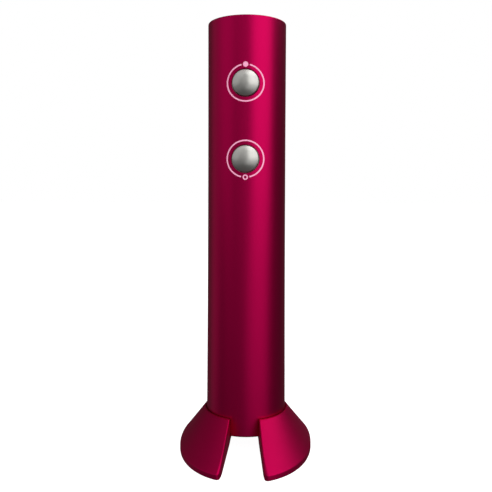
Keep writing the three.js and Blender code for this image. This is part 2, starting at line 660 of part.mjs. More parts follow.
/** The spring under a cell whose nub is up. */
function contactSpring({ x, y }) {
  const { radius, pitch, height, wire: thick } = CONTACT;
  const coil = new Helix({ radius, pitch, bottom: 0, top: height });
  return wire(coil, thick, 24, 5).translate(x, y, HOLDER.floor + thick + 0.2);
}

/** The screw cap: a domed disc with a coin slot, and a skirt with one turn of thread. */
function batteryCap() {
  const { skirt, inner, bottom, flange, top, edge, roof } = CAP;
  const profile = [
    [inner, bottom], [skirt, bottom], [skirt, flange], [LINER, flange], [LINER, top - edge],
    [LINER - edge, top], [0, top], [0, top - roof], [inner, top - roof], [inner, bottom],
  ];
  const from = bottom + THREAD.start;
  const ridge = new Helix({ radius: skirt, pitch: THREAD.pitch, bottom: from, top: from + THREAD.length });
  const { half, halfWidth, depth } = COIN_SLOT;
  const slot = block([-half, -halfWidth, top - depth], [half, halfWidth, top + OVERCUT]);
  return cut(join(turned(profile, 32), wire(ridge, THREAD.radius, 18, 6)), slot);
}

/** The collar that the cap screws into: its groove follows the cap's ridge, from a gap below its start. */
function capCollar() {
  const { pitch, start, groove, grooveLength } = THREAD;
  const from = CAP.bottom + start - GAP;
  const turn = -(GAP / pitch) * 2 * Math.PI;
  const path = new Helix({ radius: CAP.skirt, pitch, bottom: from, top: from + grooveLength, start: turn });
  return cut(ring(COLLAR.bore, LINER, COLLAR.bottom, COLLAR.top, 28), wire(path, groove, 78, 6));
}

/** The plate inside the cap that joins the cells, with a bump over each. */
function contactPlate() {
  const { bottom, top, margin, bump, bumpBottom } = CONTACT_PLATE;
  const bumps = cellPlaces.map(({ x, y }) => rod(bump, bumpBottom, (bottom + top) / 2, x, y, 8));
  return join(rod(CAP.inner - margin, bottom, top, 0, 0, 24), ...bumps);
}

function buildPower() {
  const { front, thick, width, bottom, top } = BOARD;
  add("circuit_board", block([-width / 2, front, bottom], [width / 2, front + thick, top]), BOARD_GREEN);
  add("battery_holder", batteryHolder(), BLACK_PLASTIC);
  cellPlaces.forEach((place, i) => {
    add(`battery_cell_${i + 1}`, cell(place), CELL_WRAP);
    if (place.up) add(`contact_spring_${i + 1}`, contactSpring(place), STEEL);
  });
  add("battery_cap", batteryCap(), BLACK_PLASTIC);
  add("cap_collar", capCollar(), BLACK_PLASTIC);
  const seal = new THREE.TorusGeometry(SEAL.ring, SEAL.radius, 6, 24);
  add("cap_seal", seal.translate(0, 0, CAP.flange - SEAL.drop), RUBBER);
  add("cap_contact_plate", contactPlate(), GREY_PLASTIC);
}

/** Two insulated leads from the back of the board to the motor's terminals. */
function buildLeads() {
  const thick = 0.65;
  for (const [name, side, material] of [["red", 1, RED_WIRE], ["black", -1, BLACK_PLASTIC]]) {
    const route = new THREE.CatmullRomCurve3([
      new THREE.Vector3(side * 9.6, -13.8, 194),
      new THREE.Vector3(side * 10.2, -12.4, 194.9),
      new THREE.Vector3(side * 10.6, -8, 195.4),
      new THREE.Vector3(side * 10.2, -4, 195.2),
      new THREE.Vector3(side * 9.2, -1.4, 194.4),
    ]);
    add(`motor_lead_${name}`, wire(route, thick, 10, 6), material);
  }
}

buildStand();
buildOutside();
buildWormEnd();
buildGearbox();
buildMotor();
buildChassis();
buildPower();
buildLeads();

export default machine;
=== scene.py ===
"""The looks of an electric wine opener that stands in its two-winged foil-cutter stand.

Sizes are in millimetres until a mesh is made, and every mesh is in metres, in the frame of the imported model:
+Z up, the front with the buttons faces -Y, and the origin lies on the table on the axis of the tube.
"""

import json
import logging
import math
from dataclasses import dataclass, field
from enum import Enum
from typing import Any, Sequence

import bmesh
import bpy
import numpy as np
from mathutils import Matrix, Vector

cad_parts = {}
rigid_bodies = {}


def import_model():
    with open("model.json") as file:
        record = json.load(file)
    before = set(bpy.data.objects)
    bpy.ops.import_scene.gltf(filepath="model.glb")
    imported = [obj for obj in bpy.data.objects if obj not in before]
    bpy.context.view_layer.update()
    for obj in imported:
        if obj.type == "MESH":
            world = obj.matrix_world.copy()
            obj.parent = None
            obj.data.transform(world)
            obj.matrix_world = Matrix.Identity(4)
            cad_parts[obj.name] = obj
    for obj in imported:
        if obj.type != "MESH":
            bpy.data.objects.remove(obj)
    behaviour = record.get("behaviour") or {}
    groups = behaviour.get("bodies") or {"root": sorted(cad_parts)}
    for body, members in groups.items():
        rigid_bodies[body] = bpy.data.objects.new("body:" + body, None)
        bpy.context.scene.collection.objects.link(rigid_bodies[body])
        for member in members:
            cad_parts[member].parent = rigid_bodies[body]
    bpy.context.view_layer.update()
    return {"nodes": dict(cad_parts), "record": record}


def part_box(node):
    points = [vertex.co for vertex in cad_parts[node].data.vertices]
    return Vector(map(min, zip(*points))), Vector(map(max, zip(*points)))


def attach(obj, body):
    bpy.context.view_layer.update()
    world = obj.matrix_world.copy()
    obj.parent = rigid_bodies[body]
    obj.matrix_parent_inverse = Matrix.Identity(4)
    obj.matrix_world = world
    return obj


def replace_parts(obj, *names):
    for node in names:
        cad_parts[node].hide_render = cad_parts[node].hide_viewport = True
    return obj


LOG = logging.getLogger("wine_opener")
MM = 0.001
FULL = 2 * math.pi
MERGE = 2e-7  # metres: points closer than this are one
Array = np.ndarray
Socket = bpy.types.NodeSocket


# ---- Arrays: outlines and grids ----


def fillet(
    corners: Sequence[Sequence[float]],
    radii: float | Sequence[float],
    steps: int = 6,
    closed: bool = False,
) -> Array:
    """Rounds the corners of an outline with circular arcs.

    Each arc touches both sides of its corner: its centre lies on the corner's bisector at radius / sin(half
    the corner's angle), and its points turn evenly from one tangent point to the other.

    Args:
        corners: the outline's corners as (radius, height) pairs in millimetres.
        radii: one radius for all corners, or one for each; 0 keeps a corner sharp.
        steps: spans in each arc.
        closed: whether the outline closes on itself; if not, both ends stay sharp.

    Returns:
        The rounded outline, one row for each point.
    """
    points = np.asarray(corners, float)
    radius = np.broadcast_to(np.asarray(radii, float), len(points)).copy()
    if not closed:
        radius[[0, -1]] = 0
    before, after = np.roll(points, 1, axis=0) - points, np.roll(points, -1, axis=0) - points
    before /= np.linalg.norm(before, axis=1, keepdims=True)
    after /= np.linalg.norm(after, axis=1, keepdims=True)
    half = np.arccos(np.clip((before * after).sum(1), -1, 1)) / 2
    half = np.clip(half, 0.02, math.pi / 2 - 1e-6)
    bisector = before + after
    bisector /= np.maximum(np.linalg.norm(bisector, axis=1, keepdims=True), 1e-9)
    centre = points + bisector * (radius / np.sin(half))[:, None]
    start = points + before * (radius / np.tan(half))[:, None] - centre
    end = points + after * (radius / np.tan(half))[:, None] - centre
    sweep = math.pi - 2 * half
    t = np.linspace(0, 1, steps + 1)[None, :, None]
    turn = sweep[:, None, None]
    arcs = (np.sin((1 - t) * turn) * start[:, None] + np.sin(t * turn) * end[:, None]) / np.sin(turn)
    rounded = centre[:, None] + arcs
    sharp = radius < 1e-9
    rounded[sharp] = points[sharp][:, None]
    flat = rounded.reshape(-1, 2)
    step = np.linalg.norm(np.diff(flat, axis=0, prepend=flat[:1] - 1), axis=1)
    return flat[step > 1e-7]


def grid_faces(rows: int, columns: int, wrap_rows: bool = False, wrap_columns: bool = False) -> Array:
    """The quads of a grid of points that are numbered row by row.

    Args:
        rows: number of rows of points.
        columns: number of points in a row.
        wrap_rows: whether the last row joins the first.
        wrap_columns: whether each row's last point joins its first.

    Returns:
        One row of four point numbers for each quad, in the order of the grid.
    """
    i = np.arange(rows if wrap_rows else rows - 1)[:, None]
    j = np.arange(columns if wrap_columns else columns - 1)[None, :]
    up, along = (i + 1) % rows, (j + 1) % columns
    corners = (i * columns + j, i * columns + along, up * columns + along, up * columns + j)
    return np.stack(np.broadcast_arrays(*corners), axis=-1).reshape(-1, 4)


@dataclass
class Surface:
    """Points in millimetres with the faces that join them, gathered sheet by sheet."""

    points: list[Array] = field(default_factory=list)
    faces: list[list[int]] = field(default_factory=list)
    count: int = 0

    def add(self, points: Array, faces: Array | list[list[int]]) -> "Surface":
        """Adds a sheet: its points, and its faces of four, numbered from its own first point."""
        flat = np.asarray(points, float).reshape(-1, 3)
        self.points.append(flat)
        self.faces += (np.asarray(faces) + self.count).tolist()
        self.count += len(flat)
        return self

    def mesh(self, name: str) -> bpy.types.Mesh:
        """Makes the closed mesh, in metres.

        Points that coincide are merged, so seams and poles close, and the faces are then turned outwards.

        Args:
            name: the mesh's name.

        Returns:
            The new mesh.
        """
        mesh = bpy.data.meshes.new(name)
        mesh.from_pydata((np.concatenate(self.points) * MM).tolist(), [], self.faces)
        work = bmesh.new()
        work.from_mesh(mesh)
        bmesh.ops.remove_doubles(work, verts=work.verts, dist=MERGE)
        bmesh.ops.dissolve_degenerate(work, edges=work.edges, dist=MERGE / 20)
        bmesh.ops.recalc_face_normals(work, faces=work.faces)
        work.to_mesh(mesh)
        work.free()
        return mesh

    def less(self, cutters: Sequence["Surface"], name: str) -> bpy.types.Mesh:
        """Makes the mesh with the space of other closed surfaces cut out of it.

        Args:
            cutters: the closed surfaces to cut out.
            name: the mesh's name.

        Returns:
            The new mesh.
        """
        scene = bpy.context.scene.collection.objects
        blank = bpy.data.objects.new(f"{name}_blank", self.mesh(f"{name}_blank"))
        tools = [bpy.data.objects.new(f"{name}_tool", cutter.mesh(f"{name}_tool")) for cutter in cutters]
        for made in (blank, *tools):
            scene.link(made)
        for tool in tools:
            cut = blank.modifiers.new("cut", "BOOLEAN")
            cut.operation, cut.solver, cut.object = "DIFFERENCE", "EXACT", tool
        graph = bpy.context.evaluated_depsgraph_get()
        mesh = bpy.data.meshes.new_from_object(blank.evaluated_get(graph))
        for made in (blank, *tools):
            bpy.data.objects.remove(made)
        mesh.name = name
        return mesh

    def piece(
        self,
        name: str,
        body: str,
        finish: bpy.types.Material,
        slot: str,
        sharp: float = 40.0,
        cutters: Sequence["Surface"] = (),
    ) -> bpy.types.Object:
        """Makes the piece and hangs it on a body.

        Args:
            name: the piece's name.
            body: the body it rides on.
            finish: its material.
            slot: the record's material slot of the piece; not used.
            sharp: edges that turn more than this many degrees stay crisp.
            cutters: closed surfaces that are cut out of it.

        Returns:
            The new object.
        """
        mesh = self.less(cutters, name) if cutters else self.mesh(name)
        mesh.polygons.foreach_set("use_smooth", np.ones(len(mesh.polygons), bool))
        mesh.set_sharp_from_angle(angle=math.radians(sharp))
        mesh.materials.clear()
        mesh.materials.append(finish)
        made = bpy.data.objects.new(name, mesh)
        bpy.context.scene.collection.objects.link(made)
        even = made.modifiers.new("even_shading", "WEIGHTED_NORMAL")
        even.keep_sharp = True
        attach(made, body)
        LOG.info("%s rides on %s with %d faces", name, body, len(mesh.polygons))
        return made


def turned(profile: Array, segments: int = 96, closed: bool = True) -> Surface:
    """A turned solid: the profile's points (r, z) go to (r cos a, r sin a, z) for evenly spaced angles a.

    Args:
        profile: radius and height of each point; an open profile starts and ends on the axis.
        segments: spans round the axis.
        closed: whether the profile closes on itself away from the axis.

    Returns:
        The closed surface, before its poles are merged.
    """
    angle = np.linspace(0, FULL, segments, endpoint=False)[None, :]
    r, z = profile[:, :1], profile[:, 1:]
    points = np.stack(np.broadcast_arrays(r * np.cos(angle), r * np.sin(angle), z + 0 * angle), axis=-1)
    faces = grid_faces(len(profile), segments, wrap_rows=closed, wrap_columns=True)
    return Surface().add(points, faces)


def swept(points: Array, ring: bool = False) -> Surface:
    """Joins rows of section points into a closed surface: as a ring, or with one face over each end."""
    rows, sides = points.shape[:2]
    made = Surface().add(points, grid_faces(rows, sides, wrap_rows=ring, wrap_columns=True))
    if not ring:
        last = (rows - 1) * sides
        made.faces += [list(range(sides))[::-1], list(range(last, last + sides))]
    return made


def moved(surface: Surface, shift: Sequence[float]) -> Surface:
    """The same surface, shifted by (x, y, z) millimetres."""
    surface.points = [points + np.asarray(shift, float) for points in surface.points]
    return surface


def rod(
    radius: float, bottom: float, top: float, bore: float = 0.0, edge: float = 0.0, segments: int = 64
) -> Surface:
    """An upright rod on the Z axis, or a sleeve if it has a bore, with rounded edges."""
    corners = [(bore, bottom), (radius, bottom), (radius, top), (bore, top)]
    if bore:
        return turned(fillet(corners, edge, steps=4, closed=True), segments)
    return turned(fillet(corners, [0, edge, edge, 0], steps=4), segments, closed=False)


def box(low: Sequence[float], high: Sequence[float]) -> Surface:
    """A box between two corners."""
    corner = np.array([[x, y, z] for z in (0, 1) for y in (0, 1) for x in (0, 1)], float)
    points = np.asarray(low, float) + corner * (np.asarray(high, float) - np.asarray(low, float))
    sides = [[0, 1, 5, 4], [2, 6, 7, 3], [0, 4, 6, 2], [1, 3, 7, 5]]
    return Surface().add(points, [[0, 2, 3, 1], [4, 5, 7, 6], *sides])


def along_x(surface: Surface, shift: Sequence[float]) -> Surface:
    """A turned surface laid over so that its axis runs along X: (x, y, z) goes to (z, y, -x), then shifts."""
    surface.points = [np.stack([p[:, 2], p[:, 1], -p[:, 0]], axis=-1) for p in surface.points]
    return moved(surface, shift)


def facing_front(surface: Surface, height: float) -> Surface:
    """A turned surface laid over so that its axis runs along Y at a height: (x, y, z) goes to (x, -z, y)."""
    surface.points = [np.stack([p[:, 0], -p[:, 2], p[:, 1] + height], axis=-1) for p in surface.points]
    return surface


def swept_wire(path: Array, radius: Array, sides: int = 20) -> Surface:
    """A round wire along a path, with its own radius at each point, closed at both ends.

    The section at each point lies across the path's tangent, on two axes: the one that points away from the Z
    axis and the one square to it and to the tangent.

    Args:
        path: the middle of the wire, one (x, y, z) row for each section.
        radius: the wire's radius at each section.
        sides: points round a section.

    Returns:
        The closed surface.
    """
    tangent = np.gradient(path, axis=0)
    tangent /= np.linalg.norm(tangent, axis=1, keepdims=True)
    outward = path * [1, 1, 0] + [1e-6, 0, 0]
    outward -= (outward * tangent).sum(1, keepdims=True) * tangent
    outward /= np.linalg.norm(outward, axis=1, keepdims=True)
    across = np.cross(tangent, outward)
    angle = np.linspace(0, FULL, sides, endpoint=False)[None, :, None]
    ring = np.cos(angle) * outward[:, None] + np.sin(angle) * across[:, None]
    return swept(path[:, None] + ring * radius[:, None, None])


# ---- Materials ----


def srgb(code: str) -> tuple[float, float, float, float]:
    """An sRGB hex colour such as "a00c46" as linear red, green, blue and alpha."""
    part = np.array([int(code[i : i + 2], 16) for i in (0, 2, 4)]) / 255
    linear = np.where(part <= 0.04045, part / 12.92, ((part + 0.055) / 1.055) ** 2.4)
    return (*linear.tolist(), 1.0)


def add_node(
    tree: bpy.types.NodeTree, kind: str, settings: dict[str, Any] | None = None, **links: Any
) -> bpy.types.Node:
    """Adds a shader node.

    Args:
        tree: the node tree.
        kind: the node's type, such as "ShaderNodeTexNoise".
        settings: attribute and input values; a key that names an input sets its default value.
        links: values by input name, with _ for a space, or by _ and the input's number: an output socket is
            linked, anything else is a default.

    Returns:
        The node.
    """
    node = tree.nodes.new(kind)
    for key, value in (settings or {}).items():
        if key in node.inputs:
            node.inputs[key].default_value = value
        else:
            setattr(node, key, value)
    for key, value in links.items():
        socket = node.inputs[int(key[1:])] if key[1:].isdigit() else node.inputs[key.replace("_", " ")]
        if isinstance(value, Socket):
            tree.links.new(value, socket)
        else:
            socket.default_value = value
    return node


def noise(tree: bpy.types.NodeTree, place: Socket, size_mm: float, detail: float) -> Socket:
    """Adds a noise whose pattern has a real size in millimetres, and gives its value."""
    settings = {"Scale": 1 / (size_mm * MM), "Detail": detail}
    return add_node(tree, "ShaderNodeTexNoise", settings, Vector=place).outputs["Fac"]


def bump(tree: bpy.types.NodeTree, height: Socket, depth_mm: float) -> Socket:
    """Adds a bump of a real depth in millimetres, and gives the tilted normal."""
    return add_node(tree, "ShaderNodeBump", {"Distance": depth_mm * MM}, Height=height).outputs["Normal"]


@dataclass(frozen=True)
class Finish:
    """A surface finish: its colour and gloss, with a fine grain and a broad unevenness.

    The grain is a noise of a real size that tilts the surface and roughens it a little. The broad pattern
    shifts the colour between the two hex values, as batches of dye or mould flow do.
    """

    name: str
    colour: str
    shade: str
    metallic: float = 0.0
    roughness: float = 0.5
    ior: float = 1.5
    grain_mm: float = 0.3
    grain_depth_mm: float = 0.004
    grain_gloss: float = 0.04
    drift_mm: float = 25.0

    def start(self) -> tuple[bpy.types.Material, bpy.types.NodeTree, bpy.types.Node, Socket]:
        """Makes the material with its shader, colour drift and grain, for a finish to add to.

        Returns:
            The material, its tree, its principled shader and the Object coordinates.
        """
        material = bpy.data.materials.new(self.name)
        material.use_nodes = True
        tree = material.node_tree
        tree.nodes.clear()
        place = add_node(tree, "ShaderNodeTexCoord").outputs["Object"]
        drift = noise(tree, place, self.drift_mm, 2.0)
        hues = {"_6": srgb(self.colour), "_7": srgb(self.shade)}
        colour = add_node(tree, "ShaderNodeMix", {"data_type": "RGBA"}, Factor=drift, **hues)
        grain = noise(tree, place, self.grain_mm, 3.0)
        gloss = add_node(
            tree,
            "ShaderNodeMapRange",
            {"To Min": self.roughness - self.grain_gloss, "To Max": self.roughness + self.grain_gloss},
            Value=grain,
        )
        shader = add_node(
            tree,
            "ShaderNodeBsdfPrincipled",
            {"Metallic": self.metallic, "IOR": self.ior},
            Base_Color=colour.outputs[2],
            Roughness=gloss.outputs["Result"],
            Normal=bump(tree, grain, self.grain_depth_mm),
        )
        add_node(tree, "ShaderNodeOutputMaterial", Surface=shader.outputs["BSDF"])
        return material, tree, shader, place

    def build(self) -> bpy.types.Material:
        """Makes the plain form of the finish."""
        return self.start()[0]


@dataclass(frozen=True)
class TurnedMetal(Finish):
    """A metal turned or ground in a lathe, with fine rings about the Z axis that stretch its highlights."""

    ring_mm: float = 0.12
    ring_depth_mm: float = 0.0015

    def build(self) -> bpy.types.Material:
        """Puts the tool's rings in place of the grain's tilt: a wave repeats every 1 / (20 scale) metres."""
        material, tree, shader, place = self.start()
        kind = {"wave_type": "BANDS", "bands_direction": "Z"}
        size = {"Scale": 1 / (self.ring_mm * 20 * MM), "Distortion": 1.5}
        rings = add_node(tree, "ShaderNodeTexWave", {**kind, **size}, Vector=place).outputs["Fac"]
        tree.links.new(bump(tree, rings, self.ring_depth_mm), shader.inputs["Normal"])
        return material


# Aluminium tube, bead blasted and anodised cherry red: the dye sits in the oxide, so the metal's own gleam
# comes through in colour, and the blasting spreads every highlight into a soft band.
CHERRY_ANODISED = Finish(
    "cherry_anodised_aluminium", "d20a58", "cd0955", metallic=1.0, roughness=0.40, grain_mm=0.22,
    grain_depth_mm=0.0006, grain_gloss=0.02, drift_mm=60,
)
# Zinc castings of the stand in a metallic lacquer of the same colour: rougher than the tube, so that the
# light falls off slowly round their curve.
CHERRY_LACQUER = Finish(
    "cherry_metallic_lacquer", "d20a58", "cd0955", metallic=1.0, roughness=0.52, grain_mm=0.25,
    grain_depth_mm=0.001, grain_gloss=0.02, drift_mm=40,
)
# Zinc buttons plated in satin nickel: a warm grey metal with a fine sandy grain.
SATIN_NICKEL = Finish(
    "satin_nickel_plate", "dcdbd6", "d6d5cf", metallic=1.0, roughness=0.38, grain_mm=0.3,
    grain_depth_mm=0.006, drift_mm=6,
)
# Pad-printed pale pink ink, matte and a little uneven where the pad lifted.
PAD_INK = Finish(
    "pad_printed_pink_ink", "f2a9c8", "e795ba", roughness=0.5, grain_mm=0.25, grain_depth_mm=0.003,
    drift_mm=3,
)
# Hardened steel of the cutting wheels and their pins, ground bright.
GROUND_STEEL = TurnedMetal(
    "ground_steel", "cfd2d6", "c2c5ca", metallic=1.0, roughness=0.22, grain_gloss=0.03,
)
# The worm is drawn wire with a smooth low-friction coating, darker than the ground steel.
COATED_STEEL = Finish(
    "low_friction_coated_steel", "8f9296", "84878c", metallic=1.0, roughness=0.3, grain_mm=0.4,
    grain_depth_mm=0.001,
)
# Zinc-plated screws and stampings, slightly blue and mottled by the plating's crystals.
ZINC_PLATE = Finish(
    "zinc_plated_steel", "b9bfc6", "a2a9b2", metallic=1.0, roughness=0.35, grain_mm=0.5, drift_mm=1.5,
)
# Brass pinion, hobbed and left bare.
BARE_BRASS = TurnedMetal("bare_brass", "c8a04a", "bd9444", metallic=1.0, roughness=0.28)
# ABS moulded in a spark-eroded tool: matte black with a fine leathery grain.
BLACK_ABS = Finish(
    "moulded_black_abs", "1b1b1d", "171719", roughness=0.48, ior=1.53, grain_mm=0.5, grain_depth_mm=0.012,
)
# Glass-filled nylon of the gearbox, grey with a slightly fibrous surface.
GREY_NYLON = Finish(
    "glass_filled_grey_nylon", "6e7175", "63666b", roughness=0.55, ior=1.53, grain_mm=0.7,
    grain_depth_mm=0.01,
)
# Natural acetal gears: waxy off-white.
ACETAL = Finish(
    "natural_acetal", "e8e4d8", "dfdacb", roughness=0.4, ior=1.48, grain_mm=0.6, grain_depth_mm=0.003,
)
# Fibreglass board under green solder mask.
SOLDER_MASK = Finish(
    "green_solder_mask", "1f5a34", "174a29", roughness=0.35, grain_mm=0.6, grain_depth_mm=0.01, drift_mm=3,
)
# Shrunk plastic film round a cell's steel can.
CELL_FILM = Finish(
    "shrunk_cell_film", "2b3c55", "24344b", roughness=0.25, grain_mm=1.2, grain_depth_mm=0.004, drift_mm=8,
)
# Moulded nitrile seal, dull black.
NITRILE = Finish("moulded_nitrile", "161616", "1b1a1a", roughness=0.8, grain_mm=0.3, grain_depth_mm=0.01)
# Extruded PVC insulation.
RED_PVC = Finish(
    "red_pvc_insulation", "a8201c", "9a1b18", roughness=0.42, grain_mm=0.8, grain_depth_mm=0.004,
)
BLACK_PVC = Finish(
    "black_pvc_insulation", "1c1c1c", "181818", roughness=0.42, grain_mm=0.8, grain_depth_mm=0.004,
)


class Dressing:
    """Builds each finish once and hands it out by its description."""

    def __init__(self) -> None:
        """Starts with no material made."""
        self.made: dict[str, bpy.types.Material] = {}

    def __call__(self, finish: Finish) -> bpy.types.Material:
        """The material of a finish."""
        if finish.name not in self.made:
            self.made[finish.name] = finish.build()
        return self.made[finish.name]

    def dress(self, node: bpy.types.Object, finish: Finish) -> None:
        """Gives a CAD node a finish in place of its plain colour."""
        node.data.materials.clear()
        node.data.materials.append(self(finish))


# ---- The tube ----


class Mark(Enum):
    """What breaks a printed ring: a filled dot above the upper button, an open circle below the lower one."""

    DOT = 1
    CIRCLE = -1


@dataclass
class Tube:
    """The tube: a slightly waisted wall with two round button holes, and the printed rings round them."""

    bottom: float
    top: float
    radius: float
    button_heights: tuple[float, float]
    waist: float = 0.3
    bore: float = 23.5
    lip: float = 0.75
    hole: float = 8.45
    hole_lip: float = 0.35
    patch: float = 12.0
    spans: int = 28

    def radius_at(self, z: Array) -> Array:
        """The outer radius at a height: full at both ends, less in the middle by a half wave of the waist."""
        t = (z - self.bottom - 0.6) / (self.top - self.bottom - 1.2)
        return self.radius - self.waist * np.sin(math.pi * np.clip(t, 0, 1))

    def wall_rows(self) -> Array:
        """Heights of the rows of the wall, with rows at every span of the square patches round the holes."""
        low, high = self.bottom + self.lip, self.top - self.lip
        upper, lower = max(self.button_heights), min(self.button_heights)
        patch = np.linspace(-self.patch, self.patch, self.spans + 1)
        parts = [
            np.linspace(low, lower - self.patch, 40)[:-1],
            lower + patch,
            np.linspace(lower + self.patch, upper - self.patch, 8)[1:-1],
            upper + patch,
            np.linspace(upper + self.patch, high, 10)[1:],
        ]
        return np.concatenate(parts)

    def loop_angles(self, radius: Array) -> Array:
        """Angles of the columns of the wall at given radii, from the front.

        The front columns stand at even x across the patch, at asin(x / radius); the rest are evenly spread.
        """
        x = np.linspace(-self.patch, self.patch, self.spans + 1)
        front = np.arcsin(x[None, :] / radius[:, None])
        share = np.linspace(0, 1, 120)[None, 1:-1]
        edge = front[:, -1:]
        rest = edge + share * (FULL - 2 * edge)
        return np.concatenate([front, rest], axis=1)

    def wall(self) -> Surface:
        """The wall with its lips: one grid that runs up the outside and down the inside, less the patches."""
        rows = self.wall_rows()
        quarter = np.linspace(0, math.pi / 2, 7)[1:-1]
        middle, half = (self.radius + self.bore) / 2, (self.radius - self.bore) / 2
        outer = np.stack([self.radius_at(rows), rows], axis=-1)
        sine, cosine = np.sin(quarter), np.cos(quarter)
        over = np.stack([middle + half * cosine, self.top - self.lip * (1 - sine)], axis=-1)
        back = np.stack([middle - half * sine, self.top - self.lip * (1 - cosine)], axis=-1)
        crest = np.array([[middle, self.top]])
        inner = np.stack([np.full_like(rows, self.bore), rows[::-1]], axis=-1)
        under = np.concatenate([over, crest, back])[::-1] * [1, -1] + [0, self.top + self.bottom]
        profile = np.concatenate([outer, over, crest, back, inner, under])
        angle = self.loop_angles(profile[:, 0])
        r, z = profile[:, :1], profile[:, 1:]
        points = np.stack([r * np.sin(angle), -r * np.cos(angle), z + 0 * angle], axis=-1)
        faces = grid_faces(*angle.shape, wrap_rows=True, wrap_columns=True)
        quads = faces.reshape(*angle.shape, 4)
        low, high = profile[:, 1], np.roll(profile[:, 1], -1)
        middle_height = (low + high) / 2
        on_wall = np.abs(low - high) > 1e-9
        in_patch = np.zeros(len(profile), bool)
        for height in self.button_heights:
            in_patch |= (np.abs(middle_height - height) < self.patch) & on_wall
        keep = np.ones(quads.shape[:2], bool)
        keep[np.ix_(in_patch, np.arange(self.spans))] = False
        return Surface().add(points, quads[keep])

    def patch_round(self, height: float) -> tuple[Array, Array]:
        """The square patch round a button hole: rings from its square edge to the hole and through the wall.

        A ring's points lie between the square's edge and the circle, on straight lines towards the hole's
        centre. The outer rings follow the tube, a small arc turns over the lip, and the inner rings repeat
        the outer ones at the bore.

        Args:
            height: height of the hole's centre.

        Returns:
            The points of the rings and the quads between them.
        """
        side = np.linspace(-1, 1, self.spans, endpoint=False)
        one = np.ones_like(side)
        square = self.patch * np.concatenate(
            [np.stack(p, axis=-1) for p in ((side, -one), (one, side), (-side, one), (-one, -side))]
        )
        unit = square / np.linalg.norm(square, axis=1, keepdims=True)
        rim = unit * (self.hole + self.hole_lip)
        share = np.linspace(1, 0, 9)[:, None, None] ** 1.3
        sheet = rim + share * (square - rim)
        turn = np.linspace(0, math.pi / 2, 6)[1:, None, None]
        lip = unit * (self.hole + self.hole_lip * (1 - np.sin(turn)))
        depth = np.concatenate([np.zeros(len(sheet)), self.hole_lip * (1 - np.cos(turn[:, 0, 0]))])
        flat = np.concatenate([sheet, lip])
        x, z = flat[..., 0], flat[..., 1] + height
        outer = np.stack([x, depth[:, None] - np.sqrt(self.radius_at(z) ** 2 - x**2), z], axis=-1)
        back = np.concatenate([(unit * self.hole)[None], sheet[::-1]])
        x, z = back[..., 0], back[..., 1] + height
        inner = np.stack([x, -np.sqrt(self.bore**2 - x**2), z], axis=-1)
        points = np.concatenate([outer, inner])
        return points, grid_faces(len(points), points.shape[1], wrap_columns=True)

    def band(self, height: float, inner: float, outer: float, start: float, end: float) -> Surface:
        """A printed arc round a button: a thin closed band that hugs the tube.

        Args:
            height: height of the circle's centre.
            inner: inner radius.
            outer: outer radius.
            start: first angle, from 3 o'clock, in radians.
            end: last angle.

        Returns:
            The closed band.
        """
        whole = abs(end - start) > FULL - 1e-6
        angle = np.linspace(start, end, 145)[: -1 if whole else None]
        middle, half = (inner + outer) / 2, (outer - inner) / 2
        across = np.array([-1, -0.94, -0.5, 0, 0.5, 0.94, 1, 0.94, 0.5, 0, -0.5, -0.94])
        proud = np.array([0, 0.03, 0.035, 0.035, 0.035, 0.03, 0, -0.05, -0.05, -0.05, -0.05, -0.05])
        r = (middle + half * across)[None, :]
        x, z = r * np.cos(angle)[:, None], r * np.sin(angle)[:, None] + height
        y = -np.sqrt((self.radius_at(z) + proud[None, :]) ** 2 - x**2)
        return swept(np.stack([x, y, z], axis=-1), ring=whole)

    def dot(self, height: float, radius: float) -> Surface:
        """A printed dot above a button: a thin closed disc that hugs the tube."""
        angle = np.linspace(0, FULL, 40, endpoint=False)[None, :]
        share = np.array([0, 0.5, 0.94, 1, 0.94, 0.5, 0])[:, None]
        proud = np.array([0.035, 0.035, 0.03, 0, -0.05, -0.05, -0.05])[:, None]
        x, z = radius * share * np.cos(angle), radius * share * np.sin(angle) + height
        y = -np.sqrt((self.radius_at(z) + proud) ** 2 - x**2)
        return Surface().add(np.stack([x, y, z], axis=-1), grid_faces(len(share), 40, wrap_columns=True))

    def build(self, dress: Dressing) -> None:
        """Makes the tube and its printed marks."""
        shell = self.wall()
        for height in self.button_heights:
            shell.add(*self.patch_round(height))
        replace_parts(shell.piece("lacquered_tube", "opener", dress(CHERRY_ANODISED), "lacquer"), "body_tube")
        ring, half_line, gap, mark = 11.1, 0.43, 0.228, 1.62
        for name, height, kind in zip(("upper", "lower"), self.button_heights, (Mark.DOT, Mark.CIRCLE)):
            middle = kind.value * math.pi / 2
            arc = self.band(height, ring - half_line, ring + half_line, middle + gap, middle + FULL - gap)
            arc.piece(f"{name}_ring_print", "opener", dress(PAD_INK), "lacquer")
            place = height + kind.value * ring
            sign = self.dot(place, mark) if kind is Mark.DOT else self.band(place, mark - 0.75, mark, 0, FULL)
            sign.piece(f"{name}_mark_print", "opener", dress(PAD_INK), "lacquer")


